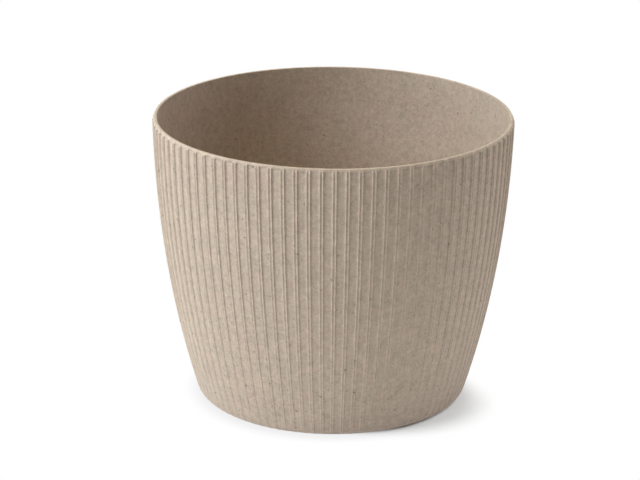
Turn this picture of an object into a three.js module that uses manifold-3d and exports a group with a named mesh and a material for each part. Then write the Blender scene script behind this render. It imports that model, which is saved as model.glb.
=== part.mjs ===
// Round plant pot with paired upright ribs and a lift-out drain plug.
// Millimetres, +Z up, origin at the middle of the face that the pot stands on.
import * as THREE from 'three';
import { mergeVertices } from 'three/addons/utils/BufferGeometryUtils.js';
import Module from 'manifold-3d';

const wasm = await Module();
wasm.setup();

const degrees = THREE.MathUtils.degToRad;

// Outline of the pot, measured over the ribs
const RIM_RADIUS = 77.5;
const HEIGHT = 125;
const BASE_RADIUS = 53.9;
const CORNER_RADIUS = 5.2;
const BELLY_LEAN = degrees(17.2);
const RIM_LEAN = degrees(1.3);
const BELLY_PULL = 26.5;
const RIM_PULL = 56;

// Shell
const WALL = 1.4;
const FLOOR = 2.2;
const INNER_CORNER_RADIUS = 6;
const FOOT_WIDTH = 7;
const FOOT_HEIGHT = 1.5;
const FOOT_DRAFT = 0.6;

// Rib pairs: two narrow ribs side by side, then a flat panel
const RIB_PAIRS = 90;
const RIB_HEIGHT = 0.4;
const RIB_WIDTH = 1.35;
const RIB_SPACING = 1.55;
const VALLEY_SHARE = 0.35;

// Rim: a thin lip over a shallow groove that only the ribs cross
const LIP_HEIGHT = 0.6;
const LIP_SETBACK = 0.85;
const GROOVE_HEIGHT = 1.3;
const GROOVE_DEPTH = 0.5;
const GROOVE_CHAMFER = 0.2;

// Drain hole and plug
const HOLE_RADIUS = 7;
const PLUG_CLEARANCE = 0.3;
const FLANGE_RADIUS = 11;
const FLANGE_THICKNESS = 1.2;
const STEM_WALL = 1.5;
const STEM_LENGTH = 2;
const TAB_WIDTH = 11;
const TAB_HEIGHT = 5;
const TAB_THICKNESS = 2.2;

// Facets
const CORNER_BANDS = 3;
const SIDE_BANDS = 5;
const INNER_SIDES = 60;
const HOLE_SIDES = 36;
const OVERCUT = 2;

const FLOOR_TOP = FOOT_HEIGHT + FLOOR;
const SEAT_Z = FLOOR_TOP - FLANGE_THICKNESS;

// The side of the pot, over the ribs: a corner round, then one cubic curve up to the rim
const cornerCentre = new THREE.Vector2(BASE_RADIUS, CORNER_RADIUS);

function cornerPoint(angle) {
  const normal = new THREE.Vector2(Math.cos(angle), Math.sin(angle));
  const point = cornerCentre.clone().addScaledVector(normal, CORNER_RADIUS);
  return { point, normal };
}

const sideStart = cornerPoint(-BELLY_LEAN).point;
const sideEnd = new THREE.Vector2(RIM_RADIUS, HEIGHT);
const sideCurve = new THREE.CubicBezierCurve(
  sideStart,
  sideStart.clone().add(new THREE.Vector2(Math.sin(BELLY_LEAN), Math.cos(BELLY_LEAN)).multiplyScalar(BELLY_PULL)),
  sideEnd.clone().sub(new THREE.Vector2(Math.sin(RIM_LEAN), Math.cos(RIM_LEAN)).multiplyScalar(RIM_PULL)),
  sideEnd,
);

function sidePoint(t) {
  const point = sideCurve.getPoint(t);
  const tangent = sideCurve.getTangent(t);
  const normal = new THREE.Vector2(tangent.y, -tangent.x);
  return { point, normal };
}

// The spot on the side curve, moved inward by depth, that lies at height z
function sideAtHeight(z, depth = 0) {
  let low = 0;
  let high = 1;
  for (let i = 0; i < 50; i++) {
    const middle = (low + high) / 2;
    const { point, normal } = sidePoint(middle);
    if (point.y - depth * normal.y < z) low = middle;
    else high = middle;
  }
  return sidePoint(high);
}

function inward({ point, normal }, depth) {
  return point.clone().addScaledVector(normal, -depth);
}

// Geometry and solids
function solidOf(geometry) {
  const plain = geometry.clone();
  plain.deleteAttribute('normal');
  plain.deleteAttribute('uv');
  const merged = mergeVertices(plain, 1e-5);
  return new wasm.Manifold(new wasm.Mesh({
    numProp: 3,
    vertProperties: new Float32Array(merged.attributes.position.array),
    triVerts: new Uint32Array(merged.index.array),
  }));
}

function geometryOf(solid) {
  const mesh = solid.getMesh();
  const geometry = new THREE.BufferGeometry();
  geometry.setAttribute('position', new THREE.BufferAttribute(mesh.vertProperties, 3));
  geometry.setIndex(new THREE.BufferAttribute(mesh.triVerts, 1));
  geometry.computeVertexNormals();
  return geometry;
}

// A solid of revolution about Z from [radius, height] pairs that start and end on the axis
function revolved(profile, sides) {
  const points = profile.map(([r, z]) => new THREE.Vector2(r, z));
  const geometry = new THREE.LatheGeometry(points, sides);
  return solidOf(geometry.rotateX(Math.PI / 2));
}

// One pair of ribs across its pitch: angle from the middle of the pair, share of the rib's height
const ribAngle = RIB_WIDTH / RIM_RADIUS;
const crestAngle = RIB_SPACING / 2 / RIM_RADIUS;
const RIB_SECTION = [
  [-crestAngle - ribAngle / 2, 0],
  [-crestAngle, 1],
  [0, VALLEY_SHARE],
  [crestAngle, 1],
  [crestAngle + ribAngle / 2, 0],
];

// Rings of the ribbed skin from the ground up: crest and panel outlines at each level
function skinRings() {
  const rings = [];
  for (let i = 0; i <= CORNER_BANDS; i++) {
    const rise = i / CORNER_BANDS;
    const place = cornerPoint(-Math.PI / 2 + rise * (Math.PI / 2 - BELLY_LEAN));
    rings.push({ crest: place.point, panel: inward(place, RIB_HEIGHT * rise) });
  }
  const grooveBottom = HEIGHT - LIP_HEIGHT - GROOVE_HEIGHT;
  const panelTop = grooveBottom - GROOVE_CHAMFER;
  for (let i = 1; i <= SIDE_BANDS; i++) {
    const z = THREE.MathUtils.lerp(sideStart.y, panelTop, i / SIDE_BANDS);
    const place = sideAtHeight(z);
    rings.push({ crest: place.point, panel: inward(place, RIB_HEIGHT) });
  }
  for (const z of [grooveBottom, HEIGHT - LIP_HEIGHT]) {
    const place = sideAtHeight(z);
    rings.push({ crest: place.point, panel: inward(place, RIB_HEIGHT + GROOVE_DEPTH) });
  }
  const lip = new THREE.Vector2(RIM_RADIUS - LIP_SETBACK, HEIGHT);
  rings.push({ crest: lip, panel: lip });
  return rings;
}

// The skin is a grid of columns round the pot by rings up it, closed by two flat fans
function ribbedBody() {
  const rings = skinRings();
  const positions = [];
  for (const { crest, panel } of rings) {
    for (let pair = 0; pair < RIB_PAIRS; pair++) {
      for (const [offset, share] of RIB_SECTION) {
        const angle = (pair / RIB_PAIRS) * 2 * Math.PI + offset;
        const at = panel.clone().lerp(crest, share);
        positions.push(at.x * Math.cos(angle), at.x * Math.sin(angle), at.y);
      }
    }
  }
  const columns = RIB_PAIRS * RIB_SECTION.length;
  const bottom = positions.length / 3;
  const top = bottom + 1;
  positions.push(0, 0, 0, 0, 0, HEIGHT);
  const index = [];
  for (let column = 0; column < columns; column++) {
    const next = (column + 1) % columns;
    for (let ring = 0; ring + 1 < rings.length; ring++) {
      const low = ring * columns;
      const high = low + columns;
      index.push(low + column, low + next, high + next);
      index.push(low + column, high + next, high + column);
    }
    const last = (rings.length - 1) * columns;
    index.push(bottom, next, column);
    index.push(top, last + column, last + next);
  }
  const geometry = new THREE.BufferGeometry();
  geometry.setAttribute('position', new THREE.Float32BufferAttribute(positions, 3));
  geometry.setIndex(index);
  return solidOf(geometry);
}

// The space inside: a flat floor, a round corner and a wall parallel to the panels
function cavity() {
  const depth = RIB_HEIGHT + WALL;
  const profile = [[0, FLOOR_TOP]];
  const wallStart = FLOOR_TOP + INNER_CORNER_RADIUS * (1 - Math.sin(BELLY_LEAN));
  const meet = inward(sideAtHeight(wallStart, depth), depth);
  const centre = meet.x - INNER_CORNER_RADIUS * Math.cos(BELLY_LEAN);
  for (let i = 0; i < CORNER_BANDS; i++) {
    const angle = -Math.PI / 2 + (i / CORNER_BANDS) * (Math.PI / 2 - BELLY_LEAN);
    profile.push([
      centre + INNER_CORNER_RADIUS * Math.cos(angle),
      FLOOR_TOP + INNER_CORNER_RADIUS * (1 + Math.sin(angle)),
    ]);
  }
  for (let i = 0; i <= SIDE_BANDS; i++) {
    const z = THREE.MathUtils.lerp(wallStart, HEIGHT, i / SIDE_BANDS);
    profile.push([inward(sideAtHeight(z, depth), depth).x, z]);
  }
  const mouth = profile[profile.length - 1][0];
  profile.push([mouth, HEIGHT + OVERCUT], [0, HEIGHT + OVERCUT]);
  return revolved(profile, INNER_SIDES);
}

// The hollow underside leaves a foot ring to stand on
function footRecess() {
  const radius = BASE_RADIUS - FOOT_WIDTH;
  return revolved([
    [0, -OVERCUT],
    [radius, -OVERCUT],
    [radius, 0],
    [radius - FOOT_DRAFT, FOOT_HEIGHT],
    [0, FOOT_HEIGHT],
  ], INNER_SIDES);
}

// The hole through the floor, with the seat for the plug's flange
function drainHole() {
  const seatRadius = FLANGE_RADIUS + PLUG_CLEARANCE;
  return revolved([
    [0, FOOT_HEIGHT - OVERCUT],
    [HOLE_RADIUS, FOOT_HEIGHT - OVERCUT],
    [HOLE_RADIUS, SEAT_Z],
    [seatRadius, SEAT_Z],
    [seatRadius, FLOOR_TOP + OVERCUT],
    [0, FLOOR_TOP + OVERCUT],
  ], HOLE_SIDES);
}

function potGeometry() {
  const body = ribbedBody();
  return geometryOf(body.subtract(cavity()).subtract(footRecess()).subtract(drainHole()));
}

// The plug: a flange that rests on its seat, a short hollow stem and a tab to pull it by
function plugGeometry() {
  const stemRadius = HOLE_RADIUS - PLUG_CLEARANCE;
  const boreRadius = stemRadius - STEM_WALL;
  const stemEnd = SEAT_Z - STEM_LENGTH;
  const round = revolved([
    [0, SEAT_Z],
    [boreRadius, SEAT_Z],
    [boreRadius, stemEnd],
    [stemRadius, stemEnd],
    [stemRadius, SEAT_Z],
    [FLANGE_RADIUS, SEAT_Z],
    [FLANGE_RADIUS, FLOOR_TOP],
    [0, FLOOR_TOP],
  ], HOLE_SIDES);
  const arch = new THREE.Shape();
  arch.moveTo(-TAB_WIDTH / 2, -FLANGE_THICKNESS / 2);
  arch.lineTo(TAB_WIDTH / 2, -FLANGE_THICKNESS / 2);
  arch.lineTo(TAB_WIDTH / 2, 0);
  arch.absellipse(0, 0, TAB_WIDTH / 2, TAB_HEIGHT, 0, Math.PI, false);
  const tab = new THREE.ExtrudeGeometry(arch, { depth: TAB_THICKNESS, bevelEnabled: false, curveSegments: 10 });
  tab.translate(0, 0, -TAB_THICKNESS / 2);
  tab.rotateX(Math.PI / 2);
  tab.translate(0, 0, FLOOR_TOP);
  return geometryOf(round.add(solidOf(tab)));
}

const composite = new THREE.MeshStandardMaterial({ color: 0xb3a18c, roughness: 0.75, metalness: 0 });
const softPlastic = new THREE.MeshStandardMaterial({ color: 0x8f8069, roughness: 0.6, metalness: 0 });

const pot = new THREE.Mesh(potGeometry(), composite);
pot.name = 'pot';

const drainPlug = new THREE.Mesh(plugGeometry(), softPlastic);
drainPlug.name = 'drain_plug';

const group = new THREE.Group();
group.add(pot, drainPlug);

export default group;
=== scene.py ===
import math
from typing import NamedTuple

import bpy
import numpy as np
from bpy.props import (
    FloatProperty,
    FloatVectorProperty,
    IntProperty,
    PointerProperty,
)
from mathutils import Matrix, Vector


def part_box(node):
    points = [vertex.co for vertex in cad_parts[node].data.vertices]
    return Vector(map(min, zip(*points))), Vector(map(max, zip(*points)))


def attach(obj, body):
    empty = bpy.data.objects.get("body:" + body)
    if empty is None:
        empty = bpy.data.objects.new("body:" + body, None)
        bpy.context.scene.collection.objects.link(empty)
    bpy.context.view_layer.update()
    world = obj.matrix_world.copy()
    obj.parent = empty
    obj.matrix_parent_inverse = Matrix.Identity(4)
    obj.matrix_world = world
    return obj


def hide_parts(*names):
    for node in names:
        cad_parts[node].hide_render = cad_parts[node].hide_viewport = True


bl_info = {
    "name": "Ribbed plant pot",
    "version": (1, 0, 0),
    "blender": (4, 5, 0),
    "location": "View3D > Sidebar > Plant Pot",
    "description": "A moulded plant pot with paired ribs, its drain plug and a white studio",
    "category": "Add Mesh",
}

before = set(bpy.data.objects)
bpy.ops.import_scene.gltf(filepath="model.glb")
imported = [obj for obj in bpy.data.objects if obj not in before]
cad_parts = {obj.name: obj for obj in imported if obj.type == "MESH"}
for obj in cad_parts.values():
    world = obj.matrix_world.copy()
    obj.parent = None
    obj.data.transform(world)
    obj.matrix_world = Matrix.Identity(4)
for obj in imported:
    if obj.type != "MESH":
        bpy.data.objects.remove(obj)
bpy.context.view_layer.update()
POT_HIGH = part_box("pot")[1]
PLUG_LOW, PLUG_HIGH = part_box("drain_plug")
MM = 0.001


# Settings

def length(name, description, default):
    """A size that a user may change, in metres."""
    return FloatProperty(
        name=name,
        description=description,
        default=default,
        min=0.0,
        precision=5,
        unit="LENGTH",
        subtype="DISTANCE",
    )


def angle(name, description, degrees):
    """An angle that a user may change, given here in degrees."""
    return FloatProperty(
        name=name,
        description=description,
        default=math.radians(degrees),
        unit="ROTATION",
        subtype="ANGLE",
    )


def share(name, description, default):
    """A part of a whole, from 0 to 1."""
    return FloatProperty(
        name=name, description=description, default=default, min=0.0, max=1.0, subtype="FACTOR"
    )


def colour(name, description, default):
    """A colour that a user may change, in linear light."""
    return FloatVectorProperty(
        name=name,
        description=description,
        default=default,
        min=0.0,
        max=1.0,
        size=3,
        subtype="COLOR",
    )


class POT_PG_sizes(bpy.types.PropertyGroup):
    """The moulded pot: its outline is measured over the ribs."""

    rim_radius: length("Rim radius", "Over the ribs, at the rim", 77.5 * MM)
    height: length("Height", "From the ground to the top of the lip", POT_HIGH.z)
    base_radius: length("Base radius", "Where the corner round leaves the ground", 53.3 * MM)
    corner_radius: length("Corner radius", "Round between base and side", 6.05 * MM)
    belly_lean: angle("Belly lean", "Lean of the side just above the corner", 16.9)
    rim_lean: angle("Rim lean", "Lean of the side at the rim", 1.3)
    belly_pull: length("Belly pull", "How far the side keeps the belly lean", 25.7 * MM)
    rim_pull: length("Rim pull", "How far the side keeps the rim lean", 56.0 * MM)
    wall: length("Wall", "From a rib's crest to the inner face", 1.95 * MM)
    floor: length("Floor", "Thickness of the floor", 2.2 * MM)
    inner_corner: length("Inner corner", "Round between floor and inner wall", 6.0 * MM)
    foot_width: length("Foot width", "Flat ring that the pot stands on", 7.0 * MM)
    foot_height: length("Foot height", "Depth of the hollow underside", 1.5 * MM)
    foot_draft: length("Foot draft", "Taper of the foot ring's inner face", 0.6 * MM)
    rib_pairs: IntProperty(
        name="Rib pairs", description="Pairs of ribs round the pot", default=90, min=3
    )
    rib_height: length("Rib height", "From a panel to a rib's crest, at the rim", 0.65 * MM)
    rib_flank: length("Rib flank", "Run of a rib's outer side, at the rim", 0.45 * MM)
    rib_spacing: length("Rib spacing", "Between the two crests of a pair, at the rim", 1.38 * MM)
    rib_valley: share("Valley", "Height between the two ribs of a pair, as a share of theirs", 0.4)
    rib_belly: share("Ribs at the belly", "Height of the ribs above the corner, as a share", 0.25)
    lip_height: length("Lip height", "From the panels' upper edge to the top", 1.50 * MM)
    lip_setback: length("Lip setback", "From the rib crests in to the lip's face", 0.60 * MM)
    lip_round: length("Lip round", "Depth of the round over the lip's face", 0.38 * MM)
    lip_rise: length("Lip rise", "Height of the round over the lip's face", 0.95 * MM)
    lip_inner_round: length("Inner lip round", "Round of the lip's inner edge", 0.18 * MM)
    panel_chamfer: length(
        "Panel chamfer", "Height of the chamfer on the panels' upper edge", 0.35 * MM
    )
    groove_depth: length(
        "Groove depth", "From the rib crests in to the groove under the lip", 0.82 * MM
    )
    rib_end: length("Rib end", "Height of a rib's leaning upper end, up to the top", 1.67 * MM)
    rib_lean: length(
        "Rib lean", "Depth of a rib's end where the lip's round passes 45 degrees", 0.66 * MM
    )
    rib_fill: share("Rib fill", "How far the valley of a pair is filled at its upper end", 0.35)
    hole_radius: length("Hole radius", "Drain hole in the floor", 7.0 * MM)
    edge_round: length("Edge round", "Small round on moulded edges", 0.2 * MM)


class POT_PG_plug(bpy.types.PropertyGroup):
    """The drain plug that rests in the floor's seat."""

    clearance: length("Clearance", "Gap round the flange and the stem", 0.3 * MM)
    flange_radius: length("Flange radius", "Disc that rests on the seat", 11.0 * MM)
    flange_thickness: length("Flange thickness", "Depth of the seat", 1.2 * MM)
    stem_wall: length("Stem wall", "Wall of the hollow stem", 1.5 * MM)
    tab_width: length("Tab width", "Pull tab, along X", 11.0 * MM)
    tab_thickness: length("Tab thickness", "Pull tab, along Y", 2.2 * MM)
    tab_round: length("Tab round", "Round on the tab's edges", 0.5 * MM)


class POT_PG_finish(bpy.types.PropertyGroup):
    """Colours of the speckled plastic and of the plug."""

    body: colour("Body", "Beige of the filled plastic", (0.483, 0.388, 0.3185))
    warm: colour("Warm flecks", "Brown fibres in the plastic", (0.36, 0.25, 0.17))
    pale: colour("Pale flecks", "Light fibres in the plastic", (0.66, 0.58, 0.50))
    speck: colour("Dark specks", "Bark and husk grains in the plastic", (0.10, 0.075, 0.055))
    plug: colour("Plug", "Soft plastic of the drain plug", (0.30, 0.245, 0.20))
    roughness: share("Roughness", "Base roughness of the plastic", 0.62)


class POT_PG_studio(bpy.types.PropertyGroup):
    """Camera and floor. The camera stands where the photograph was taken from."""

    lens_pixels: FloatProperty(
        name="Focal length",
        description="In pixels of a picture 640 wide",
        default=2800.0,
        min=1.0,
        subtype="PIXEL",
    )
    distance: length("Camera distance", "From the pot's axis, along the floor", 1149.5 * MM)
    camera_height: length("Camera height", "Above the floor", 468.0 * MM)
    pitch: angle("Pitch", "How far the camera looks down", 19.176)
    yaw: angle("Yaw", "How far the camera looks to the left", 0.266)
    roll: angle("Roll", "How far the camera leans", 0.447)
    turn: angle("Turn", "Turns camera and lights about the pot, to the photographed ribs", 1.36)
    floor_size: length("Floor size", "Side of the white floor", 8.0)


# Outline of the pot, as (radius, height) pairs

# Steps of the table in which a height on the side is looked up
CURVE_STEPS = 4000


def lerp(low, high, part):
    """The value that lies part of the way from low to high."""
    return low + (high - low) * part


def corner_round(s, turn):
    """Points on the bottom corner, and their outward normals: a circle of the corner's radius,
    touching the ground at the base radius. turn is the normal's angle above the horizontal."""
    normal = np.stack([np.cos(turn), np.sin(turn)], -1)
    centre = np.array([s.base_radius, s.corner_radius])
    return centre + s.corner_radius * normal, normal


def side_curve(s, t):
    """Points on the side, and their outward normals: a cubic curve drawn by four points, the two
    ends and one beside each, that leaves the corner round along the belly lean and reaches the rim
    along the rim lean."""
    start = corner_round(s, np.array(-s.belly_lean))[0]
    end = np.array([s.rim_radius, s.height])
    leave = start + s.belly_pull * np.array([math.sin(s.belly_lean), math.cos(s.belly_lean)])
    reach = end - s.rim_pull * np.array([math.sin(s.rim_lean), math.cos(s.rim_lean)])
    t = np.asarray(t)[:, None]
    u = 1 - t
    point = u**3 * start + 3 * u * u * t * leave + 3 * u * t * t * reach + t**3 * end
    slope = u * u * (leave - start) + 2 * u * t * (reach - leave) + t * t * (end - reach)
    slope = slope / np.linalg.norm(slope, axis=1, keepdims=True)
    return point, np.stack([slope[:, 1], -slope[:, 0]], -1)


def side_at(s, z, depth=0.0):
    """Points and normals on the side, moved inward by depth, where the moved curve has height z.
    The curve is tabled finely and read between its entries."""
    t = np.linspace(0, 1, CURVE_STEPS + 1)
    point, normal = side_curve(s, t)
    moved = (point - depth * normal)[:, 1]
    return side_curve(s, np.interp(z, moved, t))


def wall_inside(s, z):
    """Radius of the inner face at height z: the side moved in by the wall."""
    point, normal = side_at(s, np.atleast_1d(z), s.wall)
    return (point - s.wall * normal)[:, 0]


def floor_top(s):
    """Height of the inner floor."""
    return s.foot_height + s.floor


# Ribs across one pitch, and the rings of the pot's skin

# Rings on the panels' chamfer, as shares of its height and depth, rounded a little at both ends
CHAMFER_RINGS = np.array([(0.08, 0.03), (0.35, 0.33), (0.65, 0.67), (0.92, 0.97), (1.0, 1.0)])
# Rings between there and the lip's round, the same way: the groove and the lip's lower edge
GROOVE_RINGS = np.array([(0.2, 0.0), (0.5, 0.5), (0.85, 0.95)])
# Rings on the lip's round, and the place on it where the rib lean is given, by its angle
LIP_RINGS = np.radians([6, 25, 45, 62, 78, 90])
LEAN_ANGLE = math.radians(45)
# Angles of the lip's inner round, from its top to the wall, in degrees
INNER_LIP_TURN = (92, 172)
# How far a small round is cut back at its middle, as a share of its radius
ROUND_MIDDLE = 0.3


def rib_share(s, x):
    """Height of the skin at distance x from a pair's middle, as a share of the rib height: half a
    cosine wave up each outer flank, and a whole one down to the valley and up again between the
    two crests."""
    crest = s.rib_spacing / 2
    flank = np.clip((np.abs(x) - crest) / s.rib_flank, 0, 1)
    outer = (1 + np.cos(math.pi * flank)) / 2
    inner = s.rib_valley + (1 - s.rib_valley) * (1 - np.cos(math.pi * x / crest)) / 2
    return np.where(np.abs(x) < crest, inner, outer)


def rib_columns(s):
    """Angle, rib share and filled share of every column of the skin: 18 columns a pitch, close
    together on the ribs. The filled share is the rib share without the valley between the two ribs
    of a pair."""
    crest = s.rib_spacing / 2
    foot = crest + s.rib_flank
    pitch = 2 * math.pi * s.rim_radius / s.rib_pairs
    half = np.concatenate([
        crest * np.array([1 / 3, 2 / 3]),
        crest + s.rib_flank * np.array([0, 0.25, 0.5, 0.75, 1]),
        [(foot + pitch / 2) / 2],
    ])
    x = np.concatenate([-half[::-1], [0.0], half, [pitch / 2]])
    middles = np.arange(s.rib_pairs)[:, None] * (2 * math.pi / s.rib_pairs)
    angles = middles + x / s.rim_radius
    shares = rib_share(s, x)
    filled = np.where(np.abs(x) < crest, 1.0, shares)
    return [np.broadcast_to(part, angles.shape).ravel() for part in (angles, shares, filled)]


def skin_rings(s, corner_steps=8, side_steps=24):
    """Panel and crest outlines of the ribbed skin, from the foot up to the lip's top, and how far
    the valley of a pair is filled on each. Ribs grow from nothing on the ground to the belly share
    on the corner round, and evenly from there to their full height at the rim. There a chamfer
    leads from the panels into a shallow groove, the lip swells out above it and rounds over with a
    quarter ellipse, and the ribs lean in across both and end on the lip's round."""
    rise = np.linspace(0, 1, corner_steps + 1)
    corner, corner_normal = corner_round(s, lerp(-math.pi / 2, -s.belly_lean, rise))
    ledge = s.height - s.lip_height
    start = ledge - s.panel_chamfer
    climb = np.linspace(0, 1, side_steps + 1)[1:]
    side, side_normal = side_at(s, np.linspace(corner[-1, 1], start, side_steps + 1)[1:])
    growth = np.concatenate([rise * s.rib_belly, lerp(s.rib_belly, 1.0, climb)])
    crest = np.concatenate([corner, side])
    normal = np.concatenate([corner_normal, side_normal])
    panel = crest - normal * (growth * s.rib_height)[:, None]

    # The rim, as heights and as depths from the crests
    lip = s.height - s.lip_rise
    z = np.concatenate([
        start + s.panel_chamfer * CHAMFER_RINGS[:, 0],
        lerp(ledge, lip, GROOVE_RINGS[:, 0]),
        lip + s.lip_rise * np.sin(LIP_RINGS),
    ])
    depth = np.concatenate([
        lerp(s.rib_height, s.groove_depth, CHAMFER_RINGS[:, 1]),
        lerp(s.groove_depth, s.lip_setback, GROOVE_RINGS[:, 1]),
        s.lip_setback + s.lip_round * (1 - np.cos(LIP_RINGS)),
    ])
    bend = [s.height - s.rib_end, lip + s.lip_rise * math.sin(LEAN_ANGLE), s.height]
    lean = np.minimum(np.interp(z, bend, [0, s.rib_lean, depth[-1]]), depth)
    rim = side_at(s, z)[0][:, 0]
    panels = np.concatenate([panel, np.stack([rim - depth, z], -1)])
    crests = np.concatenate([crest, np.stack([rim - lean, z], -1)])
    into_end = (panels[:, 1] - bend[0]) / s.panel_chamfer
    return panels, crests, s.rib_fill * np.clip(into_end, 0, 1)


def inner_rings(s, plug, wall_steps=18, corner_steps=8, lip_steps=6):
    """Outline of everything that is plain and round, from the lip's inner edge down the wall, over
    the floor, through the plug's seat and the drain hole, and out under the base to the foot ring.
    The rounds are arcs, and the small ones on the floor's edges are chamfers."""
    r = s.edge_round
    cut = ROUND_MIDDLE * r
    top = s.height
    floor_z = floor_top(s)
    wall_z = floor_z + s.inner_corner * (1 - math.sin(s.belly_lean))
    z = np.linspace(top - s.lip_inner_round, wall_z, wall_steps + 1)
    wall = np.stack([wall_inside(s, z), z], -1)
    turn = np.linspace(-s.belly_lean, -math.pi / 2, corner_steps + 1)[1:]
    centre = wall[-1, 0] - s.inner_corner * math.cos(s.belly_lean)
    corner_z = floor_z + s.inner_corner * (1 + np.sin(turn))
    corner = np.stack([centre + s.inner_corner * np.cos(turn), corner_z], -1)
    seat = plug.flange_radius + plug.clearance
    seat_z = floor_z - plug.flange_thickness
    flat = 2 * seat
    foot = s.base_radius - s.foot_width
    plain = [
        (flat, floor_z),
        (seat + r, floor_z),
        (seat + cut, floor_z - cut),
        (seat, floor_z - r),
        (seat, seat_z),
        (s.hole_radius + r, seat_z),
        (s.hole_radius, seat_z - r),
        (s.hole_radius, s.foot_height + r),
        (s.hole_radius + r, s.foot_height),
        (flat, s.foot_height),
        (foot - s.foot_draft - r, s.foot_height),
        (foot - s.foot_draft, s.foot_height - r),
        (foot, r),
        (foot + r, 0.0),
    ]
    over = np.radians(np.linspace(*INNER_LIP_TURN, lip_steps))
    lip_r = wall[0, 0] + s.lip_inner_round * (1 + np.cos(over))
    lip_z = top - s.lip_inner_round * (1 - np.sin(over))
    return np.concatenate([np.stack([lip_r, lip_z], -1), wall, corner, plain])


# Meshes

# Edges that turn by more than this stay sharp
SHARP_EDGE = math.radians(42)
# From the pull tab's ends to a ring on the plug's flat top
TAB_MARGIN = 1.2 * MM


def ring_points(outline, angles):
    """A (radius, height) outline turned round the axis: one ring for each of its points."""
    radius, z = outline[..., 0], outline[..., 1]
    z = np.broadcast_to(z, radius.shape)
    return np.stack([radius * np.cos(angles), radius * np.sin(angles), z], -1)


def grid_faces(rings, columns, first=0):
    """Quads of a grid of rings that closes on itself sideways."""
    here = first + np.arange(rings - 1)[:, None] * columns
    above = here + columns
    column = np.arange(columns)
    following = (column + 1) % columns
    corners = [here + column, here + following, above + following, above + column]
    return np.stack(corners, -1).reshape(-1, 4)


def bridge_faces(fine_angles, fine_first, coarse_count, coarse_first, fine_below):
    """Triangles between a ring of many columns and one of few: each fine edge goes to its nearest
    coarse vertex, and one more triangle fills in wherever that vertex changes."""
    count = len(fine_angles)
    column = np.arange(count)
    following = (column + 1) % count
    step = 2 * math.pi / coarse_count
    middle = fine_angles + np.diff(np.append(fine_angles, fine_angles[0] + 2 * math.pi)) / 2
    nearest = np.round(middle / step).astype(int)
    ahead = np.append(nearest[1:], nearest[0] + coarse_count)
    here = coarse_first + nearest % coarse_count
    there = coarse_first + ahead % coarse_count
    fans = np.stack([fine_first + column, fine_first + following, here], -1)
    fills = np.stack([fine_first + following, there, here], -1)[ahead != nearest]
    faces = np.concatenate([fans, fills])
    return faces if fine_below else faces[:, ::-1]


def fan_faces(columns, first, pole, pole_below):
    """Triangles from one ring to a single point on its axis."""
    here = first + np.arange(columns)
    following = first + (np.arange(columns) + 1) % columns
    pole = np.full(columns, pole)
    order = [pole, following, here] if pole_below else [here, following, pole]
    return np.stack(order, -1)


def make_piece(name, points, face_groups):
    """A mesh object from a vertex array and arrays of quads or triangles, smooth but for its
    sharp edges."""
    mesh = bpy.data.meshes.new(name)
    totals = np.concatenate([np.full(len(faces), faces.shape[1]) for faces in face_groups])
    loops = np.concatenate([faces.ravel() for faces in face_groups])
    starts = np.concatenate([[0], np.cumsum(totals)[:-1]])
    mesh.vertices.add(len(points))
    mesh.vertices.foreach_set("co", points.astype(np.float32).ravel())
    mesh.loops.add(len(loops))
    mesh.loops.foreach_set("vertex_index", loops.astype(np.int32))
    mesh.polygons.add(len(totals))
    mesh.polygons.foreach_set("loop_start", starts.astype(np.int32))
    mesh.update(calc_edges=True)
    mesh.validate()
    mesh.shade_smooth()
    mesh.set_sharp_from_angle(angle=SHARP_EDGE)
    piece = bpy.data.objects.new(name, mesh)
    bpy.context.scene.collection.objects.link(piece)
    return piece


def pot_mesh(s, plug, coarse=180):
    """The whole pot as one closed skin: the ribbed outside on many columns and the plain inside
    and underside on few, sewn together on top of the lip and on the flat foot ring. Across a pair
    of ribs the skin lies the rib share of the way from the panels' outline to the crests'."""
    angles, shares, filled = rib_columns(s)
    panel, crest, fill = skin_rings(s)
    shares = lerp(shares, filled, fill[:, None])
    outline = lerp(panel[:, None, :], crest[:, None, :], shares[:, :, None])
    skin = ring_points(outline, angles)
    inside = inner_rings(s, plug)
    even = np.arange(coarse) * (2 * math.pi / coarse)
    plain = ring_points(inside[:, None, :] * np.ones((1, coarse, 1)), even)
    points = np.concatenate([skin.reshape(-1, 3), plain.reshape(-1, 3)])
    columns = len(angles)
    plain_first = skin.shape[0] * columns
    lip_first = plain_first - columns
    foot_first = plain_first + (len(inside) - 1) * coarse
    return points, [
        grid_faces(skin.shape[0], columns),
        grid_faces(len(inside), coarse, plain_first),
        bridge_faces(angles, lip_first, coarse, plain_first, True),
        bridge_faces(angles, 0, coarse, foot_first, False),
    ]


def turned_mesh(outline, columns=96):
    """A closed solid of revolution: the outline's first and last points lie on the axis."""
    angles = np.arange(columns) * (2 * math.pi / columns)
    rings = ring_points(outline[1:-1, None, :] * np.ones((1, columns, 1)), angles)
    poles = np.array([[0, 0, outline[0, 1]], [0, 0, outline[-1, 1]]])
    points = np.concatenate([rings.reshape(-1, 3), poles])
    count = len(rings) * columns
    return points, [
        grid_faces(len(rings), columns),
        fan_faces(columns, 0, count, True),
        fan_faces(columns, count - columns, count + 1, False),
    ]


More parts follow.
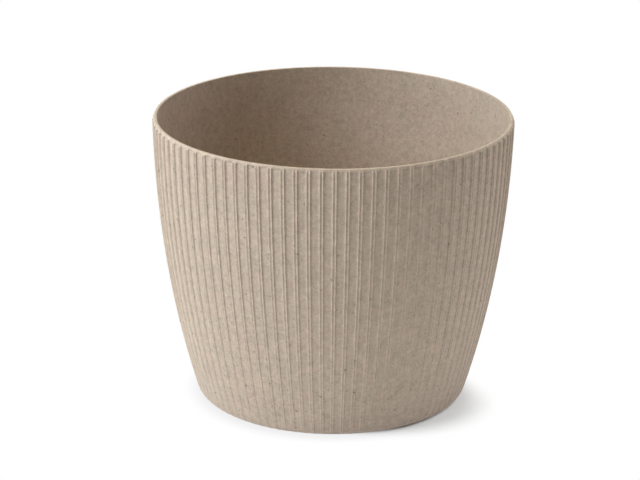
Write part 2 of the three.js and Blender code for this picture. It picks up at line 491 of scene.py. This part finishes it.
def plug_outline(s, plug):
    """Half section of the plug's disc and hollow stem, from the bore's roof round to the top:
    straight lines with small chamfers on the edges."""
    r = s.edge_round
    cut = ROUND_MIDDLE * r
    top = floor_top(s)
    seat = top - plug.flange_thickness
    end = PLUG_LOW.z
    stem = s.hole_radius - plug.clearance
    bore = stem - plug.stem_wall
    flange = plug.flange_radius
    return np.array([
        (0, seat),
        (bore - r, seat),
        (bore, seat - r),
        (bore, end + r),
        (bore + r, end),
        (stem - r, end),
        (stem, end + r),
        (stem, seat),
        (flange - r, seat),
        (flange, seat + r),
        (flange, top - r),
        (flange - cut, top - cut),
        (flange - r, top),
        (plug.tab_width / 2 + TAB_MARGIN, top),
        (0, top),
    ])


def tab_mesh(s, plug, columns=64, edge_steps=6):
    """The pull tab: half an ellipse that starts a third of the way down the flange, carried along
    Y with rounded edges. Each ring is the outline drawn in by the round, and a middle point closes
    each flat side."""
    half = plug.tab_width / 2
    base = floor_top(s) - plug.flange_thickness / 3
    rise = PLUG_HIGH.z - base
    turn = np.linspace(0, math.pi, columns)
    round_edge = plug.tab_round
    bend = np.linspace(0, math.pi / 2, edge_steps)
    out = plug.tab_thickness / 2 - round_edge + round_edge * np.sin(bend)
    draw = round_edge * (1 - np.cos(bend))
    across = np.concatenate([-out[::-1], out])
    inset = np.concatenate([draw[::-1], draw])
    x = (half - inset[:, None]) * np.cos(turn)
    z = base + (rise - inset[:, None]) * np.sin(turn)
    y = np.broadcast_to(across[:, None], x.shape)
    rings = np.stack([x, y, z], -1)
    poles = np.array([[0, across[0], base + rise / 2], [0, across[-1], base + rise / 2]])
    count = len(rings) * columns
    return np.concatenate([rings.reshape(-1, 3), poles]), [
        grid_faces(len(rings), columns)[:, ::-1],
        fan_faces(columns, 0, count, True)[:, ::-1],
        fan_faces(columns, count - columns, count + 1, False)[:, ::-1],
    ]


# Materials

class Value:
    """A number in a shader tree. Sums, differences, products and comparisons add Math nodes."""

    def __init__(self, shader, socket):
        self.shader = shader
        self.socket = socket

    def joined(self, operation, first, second):
        """The result of a Math node on two numbers, either of which may be a plain one."""
        return self.shader.node("ShaderNodeMath", {"operation": operation}, {0: first, 1: second})

    def __add__(self, other):
        return self.joined("ADD", self, other)

    __radd__ = __add__

    def __sub__(self, other):
        return self.joined("SUBTRACT", self, other)

    def __rsub__(self, other):
        return self.joined("SUBTRACT", other, self)

    def __mul__(self, other):
        return self.joined("MULTIPLY", self, other)

    __rmul__ = __mul__

    def __lt__(self, other):
        return self.joined("LESS_THAN", self, other)

    def __gt__(self, other):
        return self.joined("GREATER_THAN", self, other)


class Shader:
    """The node tree of one material, or of the world, and the ways to add to it."""

    def __init__(self, owner, output="ShaderNodeOutputMaterial"):
        self.owner = owner
        owner.use_nodes = True
        self.tree = owner.node_tree
        self.tree.nodes.clear()
        self.output = self.tree.nodes.new(output)

    def plug_in(self, socket, value):
        """Links a socket to a value of the tree, or sets it to a plain one."""
        if isinstance(value, Value):
            self.tree.links.new(value.socket, socket)
        else:
            socket.default_value = value

    def node(self, kind, settings=None, inputs=None, output=0):
        """Adds a node: its settings first, then its sockets; gives back one of its outputs."""
        node = self.tree.nodes.new(kind)
        for name, value in (settings or {}).items():
            setattr(node, name, value)
        for name, value in (inputs or {}).items():
            self.plug_in(node.inputs[name], value)
        return Value(self, node.outputs[output])

    def place(self):
        """Places on the piece, in metres."""
        return self.node("ShaderNodeTexCoord", output="Object")

    def noise(self, place, size, detail=2.0, output="Fac"):
        """Soft noise whose blobs are about size metres across."""
        inputs = {"Vector": place, "Scale": 1 / size, "Detail": detail}
        return self.node("ShaderNodeTexNoise", {}, inputs, output)

    def ramp(self, value, low, high):
        """0 below low, 1 above high and smooth between."""
        return self.node(
            "ShaderNodeMapRange",
            {"interpolation_type": "SMOOTHSTEP"},
            {"Value": value, "From Min": low, "From Max": high, "To Min": 0.0, "To Max": 1.0},
        )

    def mix(self, mask, under, over):
        """The colour under, covered by the colour over where the mask is 1."""
        node = self.tree.nodes.new("ShaderNodeMix")
        node.data_type = "RGBA"
        sockets = {socket.identifier: socket for socket in node.inputs}
        for name, value in (("Factor_Float", mask), ("A_Color", under), ("B_Color", over)):
            self.plug_in(sockets[name], value)
        result = next(socket for socket in node.outputs if socket.identifier == "Result_Color")
        return Value(self, result)

    def scale(self, tone, factor):
        """A colour or a vector times a factor."""
        inputs = {0: tone, "Scale": factor}
        return self.node("ShaderNodeVectorMath", {"operation": "SCALE"}, inputs)

    def matte(self, tone):
        """A surface that scatters light evenly."""
        return self.node("ShaderNodeBsdfDiffuse", {}, {"Color": opaque(tone)})

    def glow(self, tone, factor):
        """A surface that gives off light of a tone times a factor."""
        inputs = {"Color": self.scale(tone, factor), "Strength": 1.0}
        return self.node("ShaderNodeEmission", {}, inputs)

    def both(self, first, second):
        """Two surfaces added up."""
        return self.node("ShaderNodeAddShader", {}, {0: first, 1: second})

    def either(self, mask, under, over):
        """The surface under, and the surface over where the mask is 1."""
        return self.node("ShaderNodeMixShader", {}, {0: mask, 1: under, 2: over})

    def plastic(self, tone, rough, relief, strength, depth, specular):
        """A plastic with a relief, which is as high as the depth where its value is 1."""
        inputs = {"Strength": strength, "Distance": depth, "Height": relief}
        bump = self.node("ShaderNodeBump", {}, inputs)
        inputs = {
            "Base Color": tone,
            "Roughness": rough,
            "Normal": bump,
            "Specular IOR Level": specular,
        }
        return self.node("ShaderNodeBsdfPrincipled", {}, inputs)

    def finish(self, surface):
        """Connects the surface and gives back the material or world."""
        self.tree.links.new(surface.socket, self.output.inputs["Surface"])
        return self.owner


def opaque(rgb):
    """A colour with full alpha."""
    return (*rgb, 1.0)


class Grains(NamedTuple):
    """One kind of grain: the name of its colour in the finish settings, the size of the cells that
    hold one each, its largest radius, the share of the cells that keep theirs, the blur of its edge
    as a share of the radius, and how much it covers."""

    colour: str
    cell: float
    radius: float
    chance: float
    blur: float
    cover: float


# Grains of the speckled plastic: warm and pale fibres, soft grains and dark ones
SPECKLES = (
    Grains("warm", 2.2 * MM, 0.55 * MM, 0.6, 0.8, 0.09),
    Grains("pale", 2.1 * MM, 0.50 * MM, 0.5, 0.8, 0.16),
    Grains("speck", 2.9 * MM, 0.45 * MM, 0.8, 0.9, 0.27),
    Grains("speck", 3.5 * MM, 0.46 * MM, 0.5, 0.4, 0.7),
)
PLUG_SPECKS = Grains("speck", 3.0 * MM, 0.3 * MM, 0.4, 0.4, 0.5)
# The noise that bends a grain: its blobs and its reach, as shares of the grain's radius
BEND_SIZE = 1.5
BEND_REACH = 1.6
# The smallest grain, as a share of the largest
SMALLEST_GRAIN = 0.3

# Blobs of the noises in the speckled plastic, and what the first three add to its brightness
CLOUD_SIZE = 0.9 * MM
PATCH_SIZE = 2.4 * MM
DRIFT_SIZE = 7.0 * MM
HUE_SIZE = 6.0 * MM
PIT_SIZE = 0.35 * MM
PLAIN_SHARE = 0.60
CLOUD_SHARE = 0.18
PATCH_SHARE = 0.44
DRIFT_SHARE = 0.18
# Where the clouds and the hue pass from one end to the other, in the noise's own values
CLOUD_RANGE = (0.35, 0.65)
HUE_RANGE = (0.3, 0.7)
# The two ends of the hue, as factors on the body colour
ROSY = (1.009, 0.987, 0.997)
GREENISH = (0.991, 1.012, 1.003)
# How far the clouds change the roughness, and what clouds, pits and dark grains add to the relief
ROUGH_SWING = 0.12
CLOUD_RELIEF = 0.6
PIT_RELIEF = 0.6
DARK_RELIEF = 0.5
RELIEF_STRENGTH = 0.25
RELIEF_DEPTH = 0.05 * MM
BODY_SPECULAR = 0.55


def grains(shader, place, kind):
    """Mask of scattered grains: one in each cell, kept by chance and drawn where the distance to
    its middle is under the radius. Noise bends the cells so that no grain is a disc."""
    bend = shader.noise(place, kind.radius * BEND_SIZE, 2.0, "Color")
    inputs = {0: bend, 1: (0.5, 0.5, 0.5)}
    centred = shader.node("ShaderNodeVectorMath", {"operation": "SUBTRACT"}, inputs)
    nudge = shader.scale(centred, kind.radius * BEND_REACH)
    bent = shader.node("ShaderNodeVectorMath", {"operation": "ADD"}, {0: place, 1: nudge})
    cells = {"Vector": bent, "Scale": 1 / kind.cell, "Randomness": 1.0}
    distance = shader.node("ShaderNodeTexVoronoi", {}, cells, "Distance")
    tint = shader.node("ShaderNodeTexVoronoi", {}, cells, "Color")
    lot = shader.node("ShaderNodeSeparateColor", {}, {"Color": tint}, "Red")
    size = shader.node("ShaderNodeSeparateColor", {}, {"Color": tint}, "Green")
    radius = kind.radius / kind.cell
    reach = (size * (1 - SMALLEST_GRAIN) + SMALLEST_GRAIN) * radius
    near = shader.ramp(reach - distance, -kind.blur * radius, kind.blur * radius)
    return near * (lot < kind.chance)


def speckled_plastic(finish):
    """The pot's plastic: beige that drifts a little in hue and brightness, with warm and pale
    fibres, many soft grains and few dark ones."""
    shader = Shader(bpy.data.materials.new("speckled_plastic"))
    place = shader.place()
    cloud = shader.ramp(shader.noise(place, CLOUD_SIZE, 3.0), *CLOUD_RANGE)
    patch = shader.noise(place, PATCH_SIZE, 1.0)
    drift = shader.noise(place, DRIFT_SIZE, 1.0)
    brightness = PLAIN_SHARE + cloud * CLOUD_SHARE + patch * PATCH_SHARE + drift * DRIFT_SHARE
    hue = shader.ramp(shader.noise(place, HUE_SIZE, 2.0), *HUE_RANGE)
    rosy, greenish = [
        opaque([c * k for c, k in zip(finish.body, factors)]) for factors in (ROSY, GREENISH)
    ]
    tone = shader.scale(shader.mix(hue, greenish, rosy), brightness)
    masks = [grains(shader, place, kind) for kind in SPECKLES]
    for kind, mask in zip(SPECKLES, masks):
        tone = shader.mix(mask * kind.cover, tone, opaque(getattr(finish, kind.colour)))
    rough = finish.roughness + (cloud - 0.5) * ROUGH_SWING
    pits = shader.noise(place, PIT_SIZE, 2.0)
    relief = cloud * CLOUD_RELIEF + pits * PIT_RELIEF - masks[-1] * DARK_RELIEF
    surface = shader.plastic(tone, rough, relief, RELIEF_STRENGTH, RELIEF_DEPTH, BODY_SPECULAR)
    return shader.finish(surface)


# The plug's plastic: the blobs of its grain, the values between which it passes from the darker to
# the lighter shade, the darker shade as a factor, its roughness, relief and shine
PLUG_GRAIN_SIZE = 0.5 * MM
PLUG_GRAIN_RANGE = (0.3, 0.7)
PLUG_SHADE = 0.9
PLUG_ROUGHNESS = 0.5
PLUG_ROUGH_SWING = 0.1
PLUG_RELIEF_STRENGTH = 0.2
PLUG_RELIEF_DEPTH = 0.04 * MM
PLUG_SPECULAR = 0.5


def plug_plastic(finish):
    """The plug's softer plastic: plain, a shade darker, with a faint grain."""
    shader = Shader(bpy.data.materials.new("plug_plastic"))
    place = shader.place()
    grain = shader.noise(place, PLUG_GRAIN_SIZE, 3.0)
    darker = opaque([c * PLUG_SHADE for c in finish.plug])
    tone = shader.mix(shader.ramp(grain, *PLUG_GRAIN_RANGE), darker, opaque(finish.plug))
    specks = grains(shader, place, PLUG_SPECKS)
    tone = shader.mix(specks * PLUG_SPECKS.cover, tone, opaque(finish.speck))
    rough = PLUG_ROUGHNESS + grain * PLUG_ROUGH_SWING
    surface = shader.plastic(
        tone, rough, grain, PLUG_RELIEF_STRENGTH, PLUG_RELIEF_DEPTH, PLUG_SPECULAR
    )
    return shader.finish(surface)


def seen_by_eye(shader):
    """1 for rays from the camera, straight or by way of a mirror or glass, and 0 for light on the
    object."""
    names = ("Is Camera Ray", "Is Glossy Ray", "Is Transmission Ray")
    rays = [shader.node("ShaderNodeLightPath", output=name) for name in names]
    return rays[0] + rays[1] + rays[2] > 0.5


# Tones of the floor as the light meets it, and the painted tones that the eye sees in the shadow
WHITE = (1.0, 1.0, 1.0)
PLAIN_FLOOR = (0.8, 0.8, 0.8)
SHADED_FLOOR = (0.88, 0.96, 1.0)
SHADED_GLOW = (0.98, 0.99, 1.0)
# Strength of the floor's painted glow: on the object in place of bounced light, and on the eye's
# shadow
FLOOR_BOUNCE_GLOW = 0.27
FLOOR_GLOW = 0.37
# Radii between which the glows come in, leaving a painted shade under the object's edge, and
# between which the white rises from its edge value, a painted shade round the object
CONTACT = (54.7 * MM, 57.7 * MM)
EDGE_SHADE = (54.0 * MM, 66.0 * MM)
PAINTED_EDGE_WHITE = 0.85
# The shadow that the eye sees, inside a painted outline: its middle, and the radii round it between
# which it fades
SHADOW_MIDDLE = (30.0 * MM, -17.5 * MM, 0.0)
SHADOW_EDGE = (26.0 * MM, 44.3 * MM)


def white_floor():
    """A white floor. The object's light comes off a plain white one with a painted glow in place of
    bounced light, which fades out under the object's edge as painted shade. The eye sees a bluer
    shaded floor, lifted by a painted glow, inside a painted outline of the object's shadow, darkest
    under its edge from the lamps and from that painted fade, and elsewhere a white glow that is
    painted a shade darker close to the object."""
    shader = Shader(bpy.data.materials.new("white_floor"))
    place = shader.place()
    radius = shader.node("ShaderNodeVectorMath", {"operation": "LENGTH"}, {0: place}, "Value")
    inputs = {0: place, 1: SHADOW_MIDDLE}
    reach = shader.node("ShaderNodeVectorMath", {"operation": "DISTANCE"}, inputs, "Value")
    # Under the object's edge the glows fade out: a painted contact shade
    beside = shader.ramp(radius, *CONTACT)
    # Inside this painted outline the eye sees the lamps' shade, and white beyond it
    beyond = shader.ramp(reach, *SHADOW_EDGE)
    # Light on the object: the plain floor plus a painted glow in place of bounced light
    lit = shader.both(shader.matte(PLAIN_FLOOR), shader.glow(WHITE, beside * FLOOR_BOUNCE_GLOW))
    # Seen in the shadow: a bluer painted copy of the floor, lifted by a painted glow
    near = shader.both(shader.matte(SHADED_FLOOR), shader.glow(SHADED_GLOW, beside * FLOOR_GLOW))
    # The eye's white is a glow, painted a shade darker close to the object
    painted_shade_fade = shader.ramp(radius, *EDGE_SHADE) * (1 - PAINTED_EDGE_WHITE)
    white = shader.glow(WHITE, PAINTED_EDGE_WHITE + painted_shade_fade)
    seen = shader.either(beyond, near, white)
    return shader.finish(shader.either(seen_by_eye(shader), lit, seen))


# Studio

# Softboxes as (name, azimuth, elevation, watts, tint). Azimuth 0 is over the camera and grows to
# the right; angles are in degrees.
SOFTBOXES = [
    ("overhead", 0, 90, 12.8, (1.0, 0.955, 0.72)),
    ("left_low", -60, 30, 10.2, (0.94, 0.985, 1.0)),
    ("left_high", -80, 52, 7.8, (0.97, 1.0, 1.0)),
    ("left_side", -80, 10, 3.8, (0.93, 1.0, 1.0)),
    ("back_left", -120, 10, 6.2, (0.86, 1.0, 1.0)),
    ("right", 105, 10, 6.8, (1.0, 0.975, 1.0)),
]
# Their distance from the pot's middle and their width, in metres
SOFTBOX_DISTANCE = 1.5
SOFTBOX_WIDTH = 0.8
# The camera: the photograph's width in pixels, the sensor's in millimetres, and its near and far
# limits in metres
PICTURE_WIDTH = 640
SENSOR_WIDTH = 36.0
NEAR_LIMIT = 0.05
FAR_LIMIT = 50.0


def add_softbox(name, azimuth, elevation, watts, tint, turn):
    """A square soft light on a sphere round the pot's middle, facing it."""
    light = bpy.data.lights.new(name, "AREA")
    light.shape = "SQUARE"
    light.size = SOFTBOX_WIDTH
    light.energy = watts
    light.color = tint
    around = math.radians(azimuth) + turn
    above = math.radians(elevation)
    flat = math.cos(above)
    away = Vector((math.sin(around) * flat, -math.cos(around) * flat, math.sin(above)))
    place = Matrix.Translation(away * SOFTBOX_DISTANCE + Vector((0, 0, POT_HIGH.z / 2)))
    lamp = bpy.data.objects.new(name, light)
    lamp.matrix_world = place @ away.to_track_quat("Z", "Y").to_matrix().to_4x4()
    lamp.visible_camera = False
    bpy.context.scene.collection.objects.link(lamp)


def add_camera(studio):
    """The photograph's camera: it stands in front of the pot, looks down by the pitch, to the side
    by the yaw, and leans by the roll, all turned about the pot's axis."""
    camera = bpy.data.cameras.new("photo_camera")
    camera.sensor_fit = "HORIZONTAL"
    camera.sensor_width = SENSOR_WIDTH
    camera.lens = studio.lens_pixels * SENSOR_WIDTH / PICTURE_WIDTH
    camera.clip_start = NEAR_LIMIT
    camera.clip_end = FAR_LIMIT
    look = (
        Matrix.Rotation(studio.turn, 4, "Z")
        @ Matrix.Translation((0, -studio.distance, studio.camera_height))
        @ Matrix.Rotation(studio.yaw, 4, "Z")
        @ Matrix.Rotation(math.pi / 2 - studio.pitch, 4, "X")
        @ Matrix.Rotation(studio.roll, 4, "Z")
    )
    holder = bpy.data.objects.new("photo_camera", camera)
    holder.matrix_world = look
    bpy.context.scene.collection.objects.link(holder)
    bpy.context.scene.camera = holder


def add_world():
    """White to the eye and no light on the object."""
    shader = Shader(bpy.data.worlds.new("white_room"), "ShaderNodeOutputWorld")
    dark, white = [
        shader.node("ShaderNodeBackground", {}, {"Color": opaque(tone), "Strength": 1.0})
        for tone in ((0.0, 0.0, 0.0), WHITE)
    ]
    surface = shader.either(seen_by_eye(shader), dark, white)
    bpy.context.scene.world = shader.finish(surface)


# Operators and panel

def fit_piece(piece, material, body):
    """Gives a piece its material and slot and lets it ride on its body."""
    piece.data.materials.append(material)
    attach(piece, body)


class POT_OT_shell(bpy.types.Operator):
    """Make the moulded pot with its ribs, lip, floor and foot ring"""

    bl_idname = "plant_pot.shell"
    bl_label = "Moulded pot"

    def execute(self, context):
        scene = context.scene
        piece = make_piece("pot_shell", *pot_mesh(scene.pot_sizes, scene.pot_plug))
        fit_piece(piece, speckled_plastic(scene.pot_finish), "pot")
        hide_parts("pot")
        return {"FINISHED"}


class POT_OT_plug(bpy.types.Operator):
    """Make the drain plug: its disc with the hollow stem, and the pull tab"""

    bl_idname = "plant_pot.plug"
    bl_label = "Drain plug"

    def execute(self, context):
        scene = context.scene
        sizes, plug = scene.pot_sizes, scene.pot_plug
        material = plug_plastic(scene.pot_finish)
        disc = make_piece("plug_disc", *turned_mesh(plug_outline(sizes, plug)))
        tab = make_piece("plug_tab", *tab_mesh(sizes, plug))
        for piece in (disc, tab):
            fit_piece(piece, material, "plug")
            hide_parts("drain_plug")
        return {"FINISHED"}


class POT_OT_studio(bpy.types.Operator):
    """Make the white floor, the soft lights and the photograph's camera"""

    bl_idname = "plant_pot.studio"
    bl_label = "White studio"

    def execute(self, context):
        scene = context.scene
        studio = scene.pot_studio
        square = np.array([(-1, -1, 0), (1, -1, 0), (1, 1, 0), (-1, 1, 0)])
        corners = square * (studio.floor_size / 2)
        floor = make_piece("white_floor", corners, [np.array([[0, 1, 2, 3]])])
        floor.data.materials.append(white_floor())
        for softbox in SOFTBOXES:
            add_softbox(*softbox, studio.turn)
        add_world()
        add_camera(studio)
        scene.view_settings.view_transform = "Standard"
        return {"FINISHED"}


class POT_PT_panel(bpy.types.Panel):
    """Sizes, colours and the steps that build the pot"""

    bl_label = "Plant Pot"
    bl_idname = "POT_PT_panel"
    bl_space_type = "VIEW_3D"
    bl_region_type = "UI"
    bl_category = "Plant Pot"

    def draw(self, context):
        scene = context.scene
        for group in (scene.pot_sizes, scene.pot_plug, scene.pot_finish, scene.pot_studio):
            box = self.layout.box()
            for name in group.__annotations__:
                box.prop(group, name)
        for operator in OPERATORS:
            self.layout.operator(operator.bl_idname)


OPERATORS = (POT_OT_shell, POT_OT_plug, POT_OT_studio)
CLASSES = (POT_PG_sizes, POT_PG_plug, POT_PG_finish, POT_PG_studio, *OPERATORS, POT_PT_panel)


def register():
    """Registers the classes and gives the scene its settings."""
    for cls in CLASSES:
        bpy.utils.register_class(cls)
    bpy.types.Scene.pot_sizes = PointerProperty(type=POT_PG_sizes)
    bpy.types.Scene.pot_plug = PointerProperty(type=POT_PG_plug)
    bpy.types.Scene.pot_finish = PointerProperty(type=POT_PG_finish)
    bpy.types.Scene.pot_studio = PointerProperty(type=POT_PG_studio)


def unregister():
    """Takes both away again."""
    del bpy.types.Scene.pot_studio
    del bpy.types.Scene.pot_finish
    del bpy.types.Scene.pot_plug
    del bpy.types.Scene.pot_sizes
    for cls in reversed(CLASSES):
        bpy.utils.unregister_class(cls)


def main():
    """Builds the pot, its plug and the studio."""
    register()
    bpy.ops.plant_pot.shell()
    bpy.ops.plant_pot.plug()
    bpy.ops.plant_pot.studio()


if __name__ == "__main__":
    main()
